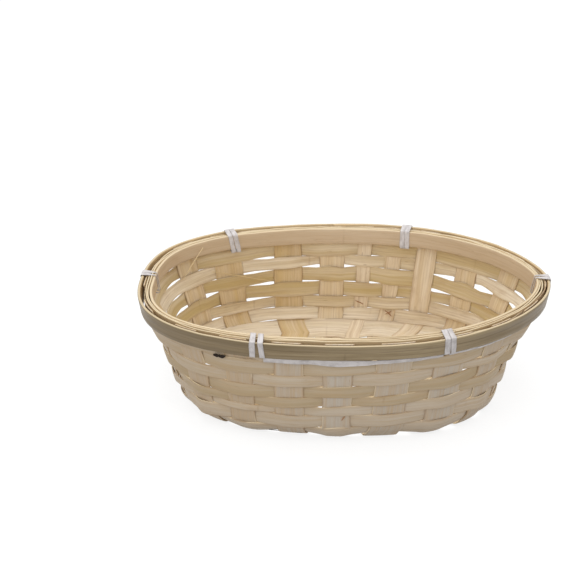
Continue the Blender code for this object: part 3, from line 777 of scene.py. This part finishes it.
def bamboo(name, inner, outer, streak_and_shade, brown, cut_and_highlight=CREAM_CUT_AND_HIGHLIGHT, shine=(0.46, 0.66), streaks=0.30,
           flecks=0.35, groove_shade=0.0, painted_edge_shade=0.0, glints=False):
    """Split bamboo. The pith side and the skin side each have a pale and a deep colour."""
    inner, outer = ([srgb(*colour) for colour in pair] for pair in (inner, outer))
    streak_and_shade, brown, cut_and_highlight = (srgb(*colour) for colour in (streak_and_shade, brown, cut_and_highlight))
    shade = Shade(name)
    number, span, mixed = shade.number, shade.span, shade.mixed
    fine, middle, broad, blotch = (
        shade.noise(*noise) for noise in (FINE_NOISE, MIDDLE_NOISE, BROAD_NOISE, BLOTCH_NOISE))
    # The outer face takes the skin side's colours, which on weavers and stakes also hold painted
    # shade
    skin = span(shade.side, *SKIN_AND_SHADE_SPAN)
    deep = number("ADD", shade.tone, span(broad, *TONE_SPAN), clamp=True)
    colour = mixed(skin, mixed(deep, *inner), mixed(deep, *outer))
    bands = number("MULTIPLY", span(middle, *STREAK_SPAN), streaks, clamp=True)
    colour = mixed(bands, colour, streak_and_shade)
    colour = mixed(span(blotch, *BLOTCH_SPAN), colour, streak_and_shade)
    colour = mixed(span(fine, *FIBRE_SPAN), colour, brown)
    colour = mixed(span(shade.noise(*FLECK_NOISE), *FLECK_SPAN, flecks), colour, brown)
    parts = shade.add("ShaderNodeSeparateXYZ", {0: shade.grain}).outputs
    shifted = number("ADD", parts[0], number("MULTIPLY", parts[2], JOINT_SHIFT))
    wavy = number("ADD", shifted, number("MULTIPLY", middle, JOINT_WAVINESS))
    joint = span(number("PINGPONG", wavy, JOINT_PITCH), *JOINT_SPAN)
    joint = number("MULTIPLY", joint, span(blotch, *JOINT_PLACES), clamp=True)
    colour = mixed(number("MULTIPLY", joint, JOINT_SHARE, clamp=True), colour, brown)
    # Painted shade of a lengthwise groove: a dark line that wanders along the band
    if groove_shade:
        place = number("ABSOLUTE", number("ADD", parts[1], span(blotch, *GROOVE_WANDER)))
        line = span(place, *GROOVE_WIDTH, groove_shade, 0.0)
        line = number("MULTIPLY", line, span(broad, *GROOVE_PLACES), clamp=True)
        colour = mixed(line, colour, brown)
    # Painted shade: strips turn towards the streak colour near their long edges, where rows meet
    colour = mixed(span(shade.edge, *PAINTED_EDGE_SHADE_SPAN, painted_edge_shade), colour, streak_and_shade)
    # Pale edges: partly the paler colour of cut bamboo, partly painted highlight; with glints the
    # painted highlight shows only in spots
    pale = span(shade.edge, *CUT_AND_HIGHLIGHT_SPAN)
    if glints:
        place = shade.noise(*GLINT_NOISE)
        # Painted shadow: brown lines along the edges where no glint is painted, for the shade under
        # the rows
        dark = number("MULTIPLY", span(shade.edge, *EDGE_SHADOW_SPAN), span(place, *EDGE_SHADOW_PLACES))
        colour = mixed(dark, colour, brown)
        pale = number("MULTIPLY", pale, span(place, *GLINT_PLACES))
    colour = mixed(pale, colour, cut_and_highlight)
    shade.feed(shade.shader.inputs["Specular IOR Level"], BAMBOO_SPECULAR)
    height = number("ADD", number("MULTIPLY", fine, 0.5), middle)
    height = number("ADD", height, number("MULTIPLY", joint, 0.5))
    return shade.finish(colour, span(middle, *SHINE_SPAN, *shine), height, *BAMBOO_BUMP)


def tape_material(name):
    """White packing tape: fine lengthwise ribs, dull folds with painted shade, a soft shine."""
    shade = Shade(name)
    rib = shade.noise(*RIB_NOISE)
    fold = shade.noise(*FOLD_NOISE)
    # Painted shade: the folds are darker
    colour = shade.mixed(shade.span(fold, *FOLD_SPAN), srgb(*TAPE_LIGHT), srgb(*TAPE_FOLD_SHADE))
    for value, span in ((rib, RIB_SPAN), (shade.edge, TAPE_EDGE_SPAN)):
        colour = shade.mixed(shade.span(value, *span), colour, srgb(*TAPE_RIB))
    roughness = shade.span(fold, *SHINE_SPAN, *TAPE_SHINE)
    return shade.finish(colour, roughness, shade.number("ADD", rib, fold), *TAPE_BUMP)


# ---- courses ----
def course_angles(first, last, drop):
    """Angles of evenly spaced stations, and how far along the strip they lie."""
    rough = np.linspace(first, last, ROUGH_STATIONS)
    lengths = np.linalg.norm(row_direction(rough, drop), axis=-1)
    run = np.concatenate([[0], np.cumsum((lengths[1:] + lengths[:-1]) / 2 * np.diff(rough))])
    along = np.linspace(0, run[-1], int(run[-1] / STEP))
    return np.interp(along, run, rough), along


def met_stakes(first, count):
    """Numbers, angles and widths of stakes in a row, the angles rising past a full turn."""
    turns, stakes = np.divmod(np.arange(first, first + count), COUNT)
    angles, widths = np.transpose([STAKES[stake] for stake in stakes])
    return stakes.tolist(), angles + turns * FULL_TURN, widths


def weaver(course, first, lapped, material, seed):
    name = f"weaver_{course}" if course else "top_weaver"
    random = np.random.default_rng(seed)
    stakes, met, widths = met_stakes(first, COUNT + 2 if lapped else COUNT + 1)
    bases = WEAVER_OFFSET * np.array([weave_side(stake, course) for stake in stakes])
    bulges = WEAVER_BULGE * random.uniform(*BULGE_RANGE, len(met)) * (1 + np.cos(met) ** 2)
    if course in RIM_COURSES:
        bulges = RIM_COURSE_BULGE * bulges
    leans = WEAVER_LEAN * random.uniform(*LEAN_RANGE, len(met))
    extra = np.array([BULGES.get((course, stake), 0) for stake in stakes])
    bulges, leans = bulges + extra, leans + BULGE_LEAN * extra
    middle_drop = np.mean(course_edges(course, met))
    halves = half_angle(met, middle_drop, widths)
    if lapped:
        bases[1], bases[-2] = -LAP_OFFSET, LAP_OFFSET
        bulges[[0, 1, -2, -1]] = leans[[0, 1, -2, -1]] = 0
        ends = (met[0] - halves[0] * LAP_REACH, met[-1] + halves[-1] * LAP_REACH)
    else:
        ends = (met[0] + BUTT_GAP, met[-1] - BUTT_GAP)
    angles, along = course_angles(*ends, middle_drop)
    knots = met[:, None] + CROSSING_SHARES * halves[:, None]
    peaks = bases + np.copysign(bulges, bases)
    values = np.stack([bases, peaks, peaks, bases], 1)
    offset = smoothed(np.interp(angles, knots.ravel(), values.ravel()), COURSE_SMOOTHING)
    lean = smoothed(np.interp(angles, met, leans), LEAN_SMOOTHING)
    upper, lower = course_edges(course, angles)
    if course == 0:
        inside = np.clip(TUCK_SIDE - offset / WEAVER_OFFSET, 0, 1)
        shown = np.clip(TUCK_RATE * ring_value(TOP_SHOWN, angles), 0, 1)
        lower = lower + TOP_COURSE_TUCK * (inside * shown)
    upper = upper + drift(along, seed + 1, *UPPER_EDGE_WAVE)
    lower = lower + drift(along, seed + 2, *LOWER_EDGE_WAVE)
    half = (lower - upper) / 2
    cup = WEAVER_CUP * (1 + drift(along, seed + 5, *CUP_WAVE))
    off = spread(offset, lean, U_STRIP) - cupped(cup[:, None])
    thick = WEAVER_THICKNESS / 2 * (1 + drift(along, seed + 6, *THICKNESS_WAVE))
    off = off + V_STRIP * thick[:, None]
    points = on_wall(angles[:, None], spread((upper + lower) / 2, half, U_STRIP), off)
    tones = WEAVER_TONES[course] + drift(along, seed + 7, *COURSE_TONE_WAVE)
    make_strip(name, points, along, half, STRIP, material, seed, tones)


def make_weavers(material):
    for course, first in enumerate(LAP_STAKES, 1):
        if weave_side(first, course) == INSIDE:
            first += 1
        weaver(course, first, True, material, 10 * course)
    weaver(0, PARITY_STAKE, False, material, TOP_COURSE_SEED)


# ---- stakes and base ----
def stake_half(angle, width, stake, drops, seed):
    """Offsets and half widths down one stake."""
    length = wall_length(angle)
    courses = range(1, COURSES + 1)
    knots = [np.mean(course_edges(course, angle)) for course in courses]
    values = [
        STAKE_FOLLOWS * BULGES.get((course, stake), 0) - weave_side(stake, course) * STAKE_GIVE
        for course in courses
    ]
    offset = smoothed(np.interp(drops, [0, *knots, length], [0, *values, 0]), STAKE_SMOOTHING)
    reach = np.clip(1 - np.abs(length - SHOULDER_RISE - drops) / SHOULDER_REACH, 0, 1)
    offset = offset + SHOULDERS.get(stake, 0) * reach
    uneven = 1 + drift(drops, seed, *STAKE_WIDTH_WAVE) + drift(drops, seed + 1, *STAKE_EDGE_WAVE)
    return offset, width / 2 * uneven


def splint(name, first, last, others, under, material, seed, tone):
    """One splint: down the first wall, across the base and up the other wall."""
    walls = []
    for turn, wall_seed, (stake, angle, width) in ((1, seed, first), (-1, seed + 5, last)):
        length = wall_length(angle)
        drops = np.linspace(STAKE_TOP, length, int((length - STAKE_TOP) / STEP))
        offset, half = stake_half(angle, width, stake, drops, wall_seed)
        sway = drift(drops, seed + 9 * turn, *STAKE_SWAY_WAVE)
        per_metre = half_angle(angle, drops, 2)
        angles = angle + spread(sway, turn * half, U_STRIP) * per_metre[:, None]
        ends = wall_length(angles[-1])
        blend = np.clip((drops - (1 - STAKE_FIT) * length) / (STAKE_FIT * length), 0, 1) ** 2
        depth = spread(drops, blend, ends - length)
        off = offset[:, None] + V_STRIP * STAKE_THICKNESS / 2 - cupped(STAKE_CUP)
        walls.append((on_wall(angles, depth, off), half, wall_middle(angles[-1], ends)[0]))
    (front, front_half, start), (back, back_half, end) = walls
    steps = int(np.linalg.norm(end.mean(0) - start.mean(0)) / STEP)
    shares = np.linspace(0, 1, steps + 2)[1:-1]
    middle = start + (end - start) * shares[:, None, None]
    crossings = [(share, sign * BASE_LIFT) for share, sign in sorted(zip(others, under))]
    knots, values = np.transpose([(0, 0), *crossings, (1, 0)])
    lift = smoothed(np.interp(shares, knots, values), BASE_SMOOTHING)
    middle[..., 2] = BASE_MIDDLE - (lift[:, None] + V_STRIP * STAKE_THICKNESS / 2)
    points = np.concatenate([front, middle, back[::-1]])
    base_half = np.interp(shares, [0, 1], [front_half[-1], back_half[-1]])
    half = np.concatenate([front_half, base_half, back_half[::-1]])
    along = run_length(points.mean(1))
    make_strip(name, points, along, half, STRIP, material, seed, tone)


def flat_line(first, last):
    return [wall_middle(angle, wall_length(angle))[0][:2] for _, angle, _ in (first, last)]


def crossing(line, other):
    (p, q), (r, s) = line, other
    a, b = q - p, s - r
    return ((r - p)[0] * b[1] - (r - p)[1] * b[0]) / (a[0] * b[1] - a[1] * b[0])


def make_splints(material):
    def pairs(count, first, last):
        for i in range(count):
            ends = (first + i, *STAKES[first + i]), (last - i, *STAKES[last - i])
            yield *ends, flat_line(*ends)
    crosswise = [*pairs(CROSSWISE, 0, 2 * CROSSWISE + LENGTHWISE - 1)]
    lengthwise = [*pairs(LENGTHWISE, CROSSWISE, COUNT - 1)]
    for kind, splints, others, sign, seed, tones in (
        ("crosswise", crosswise, lengthwise, 1, 200, CROSSWISE_TONES),
        ("lengthwise", lengthwise, crosswise, -1, 400, LENGTHWISE_TONES),
    ):
        for i, (first, last, line) in enumerate(splints):
            shares = [crossing(line, other[2]) for other in others]
            under = [sign if (i + j) % 2 == 0 else -sign for j in range(len(others))]
            splint(f"{kind}_splint_{i + 1}", first, last, shares, under, material,
                   seed + 20 * i, tones[i])


# ---- rim ----
def levelled(angle, drop, off):
    """Drop of a point of the rim's section, once its pieces stand at their own heights."""
    share = np.clip((HOOP_INSIDE - off) / (HOOP_INSIDE - INNER_HOOP[0]), 0, 1)
    return drop - LEVELLING * off * np.tan(rim_tilt(angle)) - share * ring_value(RISE_TABLE, angle)


def hoop(name, stake, steps, top, height, low, high, material, slot, seed, tone,
         wave=HOOP_RISE, gape=0.0, heights=None, deeper=None):
    """A band round the rim; where steps is above 0 its tapered ends lap over that many stakes."""
    start = STAKES[stake][0]
    end = start + FULL_TURN
    lap_end = met_stakes(stake, steps + 1)[1][-1]
    last = lap_end + FULL_TURN if steps else end - LINER_GAP
    angles, along = course_angles(start, last, HOOP_MIDDLE_DROP)
    inner = np.full_like(angles, low)
    outer = np.full_like(angles, high)
    if steps:
        taper = high - low - HOOP_GAP - 2 * HOOP_TIP
        growing = np.clip((angles - start) / (lap_end - start), 0, 1)
        closing = np.clip((angles - end) / (lap_end - start), 0, 1)
        outer = np.where(angles < lap_end, low + HOOP_TIP + taper * growing, outer)
        inner = np.where(angles > end, low + HOOP_TIP + HOOP_GAP + taper * closing, inner)
    shift = top + drift(along, seed, wave, RISE_LENGTH)
    shift = shift + drift(along, seed + 1, RIPPLE_SHARE * wave, RIPPLE_LENGTH)
    tall = height * (1 + drift(along, seed + 2, *HOOP_HEIGHT_WAVE))
    if heights is not None:
        tall = tall * ring_value(heights, angles)
    drops = shift[:, None] + tall[:, None] * (U_BAND + 1) / 2
    face = drift(along, seed + 3, *HOOP_FACE_WAVE) + drift(along, seed + 4, gape, GAPE_LENGTH)
    off = spread((inner + outer) / 2, (outer - inner) / 2, V_BAND) + face[:, None]
    points = on_rim(angles[:, None], levelled(angles[:, None], drops, off), off)
    tones = tone + drift(along, seed + 6, *HOOP_TONE_WAVE)
    if deeper is not None:
        tones = tones + ring_value(deeper, angles)
    make_strip(name, points, along, tall / 2, BAND, material, seed, tones, FACE_SHIFT)


def make_rim(outer, inner, liner):
    hoop("outer_hoop", OUTER_HOOP_STAKE, HOOP_LAP, 0.0, HOOP_HEIGHT, HOOP_INSIDE, HOOP_OUTSIDE,
         outer, "hoop_outer", 601, 0.5, deeper=TONE_TABLE)
    hoop("inner_hoop", INNER_HOOP_STAKE, HOOP_LAP, 0.0, INNER_HOOP_HEIGHT, *INNER_HOOP,
         inner, "hoop_inner", 611, 0.4, heights=INNER_TABLE)
    hoop("outer_liner", OUTER_LINER_STAKE, 0, 0.0002, LINER_HEIGHT, *FIRST_LINER,
         liner, "liner", 621, 0.3, LINER_RISE, 0.00045)
    hoop("inner_liner", INNER_LINER_STAKE, 0, 0.0, LINER_HEIGHT, *SECOND_LINER,
         liner, "liner", 631, 0.5, LINER_RISE, 0.00035)


# ---- tape ----
def tie_path():
    """Round the rim's section: stand-off, drop, and which way the tape faces."""
    out, inn = HOOP_OUTSIDE + TIE_SLACK - TIE_RADIUS, INNER_HOOP[0] - TIE_SLACK + TIE_RADIUS
    low, high = TIE_RADIUS - TIE_SLACK - TIE_TOP_SLACK, HOOP_HEIGHT + TIE_SLACK - TIE_RADIUS
    path = []
    for quarter, (off, drop) in enumerate(((out, low), (inn, low), (inn, high), (out, high))):
        for step in range(TIE_ARC_STEPS + 1):
            turn = math.pi / 2 * (quarter + step / TIE_ARC_STEPS)
            x, y = math.cos(turn), math.sin(turn)
            path.append((off + x * TIE_RADIUS, drop - y * TIE_RADIUS, x, y))
    fine = []
    for here, after in zip(path, path[1:] + path[:1]):
        pieces = max(1, int(math.dist(here[:2], after[:2]) / TIE_STEP))
        for k in range(pieces):
            fine.append(tuple(a + (b - a) * k / pieces for a, b in zip(here, after)))
    return np.array(fine)


def make_tie(name, angle, width, skew, lean, inside, seed, material):
    path = tie_path()
    along = run_length(path[:, :2])
    off, drop, out, up = path.T
    per_metre = half_angle(angle, 0.0, 2)
    inward = np.clip((HOOP_OUTSIDE - off) / (HOOP_OUTSIDE - INNER_HOOP[0]), 0, 1)
    wide = width / 2 * (1 + drift(along, seed, *TIE_WIDTH_WAVE)) * (1 - (1 - inside) * inward**2)
    sway = skew * (drop / HOOP_HEIGHT - 0.5) + drift(along, seed + 1, *TIE_SWAY_WAVE)
    sway = sway + lean * inward
    angles = angle + spread(sway, wide, U_TAPE) * per_metre
    ripple = drift(along, seed + 2, *TIE_RIPPLE_WAVE)[:, None] * U_TAPE
    away = V_TAPE * TAPE_THICKNESS / 2 + ripple - TIE_BOW * U_TAPE ** 2
    offs = off[:, None] + out[:, None] * away
    drops = drop[:, None] - up[:, None] * away
    points = on_rim(angles, levelled(angles, drops, offs), offs)
    make_strip(name, points, along, wide, TAPE, material, seed, closed=True)


def make_ties(material):
    """All ties, and the places of their outermost edges for the tape that runs on."""
    edges = {}
    for i, (name, (share, side, pitch, skew, splay, lean, inside)) in enumerate(TIES.items()):
        angle = angle_at(share, side)
        shift = half_angle(angle, 0.0, pitch)
        edges[name] = (angle - shift, angle + shift)
        for sign, letter, width in WRAPS:
            make_tie(f"tie_{name}_{letter}", angle + sign * shift, width, skew + sign * splay,
                     lean, inside, 700 + 10 * i + sign, material)
    return edges


def make_run(name, start, end, widths, seed, material):
    angles, along = course_angles(start, end, HOOP_HEIGHT)
    half = np.interp(along / along[-1], RUN_SHARES, widths) / 2
    half = half * (1 + drift(along, seed, *RUN_WIDTH_WAVE))
    centre = HOOP_HEIGHT + RUN_GAP + half + drift(along, seed + 1, *RUN_DROP_WAVE)
    face = drift(along, seed + 2, *RUN_FACE_WAVE)[:, None]
    off = RUN_OFFSET + V_TAPE * TAPE_THICKNESS / 2 + face
    points = on_wall(angles[:, None], spread(centre, half, U_TAPE), off)
    make_strip(name, points, along, half, TAPE, material, seed)


def make_runs(edges, material):
    (_, start), (end, start_right) = edges["front_left"], edges["front_right"]
    make_run("tape_run_front", start, end, FRONT_RUN_WIDTHS, 801, material)
    end_right = angle_at(RUN_END, "front")
    make_run("tape_run_right", start_right, end_right, RIGHT_RUN_WIDTHS, 811, material)


# ---- loose fibres, knots, splits and a patch of painted shadow ----
def make_slivers(materials):
    for i, (name, (first, last, width, kind)) in enumerate(SLIVERS.items()):
        start, end = (on_wall(math.radians(angle), *place) for angle, *place in (first, last))
        shares = np.linspace(0, 1, SLIVER_STATIONS)
        middle_angle = math.radians((first[0] + last[0]) / 2)
        middle_drop = (first[1] + last[1]) / 2
        _, down = wall_middle(middle_angle, middle_drop)
        face = unit(np.cross(down, row_direction(middle_angle, middle_drop)))
        axis = unit(end - start)
        sideways = unit(np.cross(axis, face))
        away = np.cross(sideways, axis)
        along = shares * np.linalg.norm(end - start)
        sway = drift(along, 900 + i, SLIVER_SWAY * width, SLIVER_SWAY_LENGTH)
        line = start + (end - start) * shares[:, None] + sway[:, None] * sideways
        wide = width / 2 * (SLIVER_TIP + (1 - SLIVER_TIP) * np.sin(math.pi * shares))
        wide = wide * (1 + drift(along, 920 + i, *SLIVER_WIDTH_WAVE))
        points = line[:, None] + (U_TAPE * wide[:, None])[..., None] * sideways
        points = points + V_TAPE[:, None] * (SLIVER_THICKNESS / 2) * away
        make_strip(name, points, along, wide, TAPE, materials[kind], 940 + i, extra=True)


# ---- stage, light and camera ----
WHITE = (1, 1, 1, 1)
FLOOR_REACH = 4.0
FLOOR_DROP = 0.0002
FLOOR_GLOW = 0.80
FLOOR_SEEN = (0.24, 0.24, 0.24, 1)
FLOOR_LIT = (0.45, 0.45, 0.45, 1)
STUDIO_LIGHT = 0.98
# Name, place, width and power
LAMPS = (
    ("key", (-0.15, 0.10, 1.45), 1.0, 6.0),
    ("fill", (-0.50, -0.90, 0.80), 1.0, 2.2),
)
LAMP_TARGET = (0, 0, 0.05)

# The photo's size in pixels, and the camera that was fitted to its rim
IMAGE_SIZE = 576
SENSOR_WIDTH = 36
NEAREST_SEEN = 0.01
CAMERA_DISTANCE = 0.9
CAMERA_ELEVATION = math.radians(28)
CAMERA_YAW = math.radians(0.25)
CAMERA_ROLL = math.radians(1.5)
FOCAL_PIXELS = 1117.8
RIM_CENTRE_PIXEL = (345.14, 278.73)


def make_floor():
    mesh = bpy.data.meshes.new("floor")
    corners = [(x, y, 0) for x, y in ((-1, -1), (1, -1), (1, 1), (-1, 1))]
    mesh.from_pydata(np.multiply(corners, FLOOR_REACH).tolist(), [], [(0, 1, 2, 3)])
    floor = add_object("floor", mesh)
    floor.location.z = -FLOOR_DROP
    material = bpy.data.materials.new("floor_paint")
    nodes = Nodes(material, empty=True)
    glow = nodes.add("ShaderNodeEmission", {"Color": WHITE, "Strength": FLOOR_GLOW})
    shaded = nodes.add("ShaderNodeBsdfDiffuse", {"Color": FLOOR_SEEN})
    seen = nodes.add("ShaderNodeAddShader", {0: glow.outputs[0], 1: shaded.outputs[0]})
    lit = nodes.add("ShaderNodeBsdfDiffuse", {"Color": FLOOR_LIT})
    nodes.end("ShaderNodeOutputMaterial", lit, seen)
    mesh.materials.append(material)


def make_light():
    world = bpy.data.worlds.new("studio")
    bpy.context.scene.world = world
    nodes = Nodes(world, empty=True)
    light = nodes.add("ShaderNodeBackground", {"Color": WHITE, "Strength": STUDIO_LIGHT})
    seen = nodes.add("ShaderNodeBackground", {"Color": WHITE, "Strength": 1.0})
    nodes.end("ShaderNodeOutputWorld", light, seen)
    for name, place, size, power in LAMPS:
        lamp = bpy.data.lights.new(name, "AREA")
        lamp.size = size
        lamp.energy = power
        item = add_object(name, lamp)
        item.location = place
        aim = Vector(LAMP_TARGET) - Vector(place)
        item.rotation_euler = aim.to_track_quat("-Z", "Y").to_euler()


def make_camera():
    data = bpy.data.cameras.new("camera")
    data.sensor_fit = "HORIZONTAL"
    data.sensor_width = SENSOR_WIDTH
    data.lens = FOCAL_PIXELS / IMAGE_SIZE * SENSOR_WIDTH
    data.clip_start = NEAREST_SEEN
    data.shift_x = -(RIM_CENTRE_PIXEL[0] - IMAGE_SIZE / 2) / IMAGE_SIZE
    data.shift_y = (RIM_CENTRE_PIXEL[1] - IMAGE_SIZE / 2) / IMAGE_SIZE
    camera = add_object("camera", data)
    camera.matrix_world = (
        Matrix.Translation((0, 0, HEIGHT))
        @ Matrix.Rotation(-CAMERA_YAW, 4, "Z")
        @ Matrix.Rotation(math.pi / 2 - CAMERA_ELEVATION, 4, "X")
        @ Matrix.Translation((0, 0, CAMERA_DISTANCE))
        @ Matrix.Rotation(CAMERA_ROLL, 4, "Z")
    )
    bpy.context.scene.camera = camera


make_camera()
bpy.context.scene.view_settings.view_transform = "Standard"
make_floor()
make_light()

bamboos = {name: bamboo(name, **look) for name, look in BAMBOOS.items()}
white_tape = tape_material("white_tape")

make_weavers(bamboos["weaver_bamboo"])
make_splints(bamboos["stake_bamboo"])
make_rim(bamboos["outer_hoop_bamboo"], bamboos["inner_hoop_bamboo"], bamboos["liner_bamboo"])
tie_edges = make_ties(white_tape)
make_runs(tie_edges, white_tape)
make_slivers(bamboos)
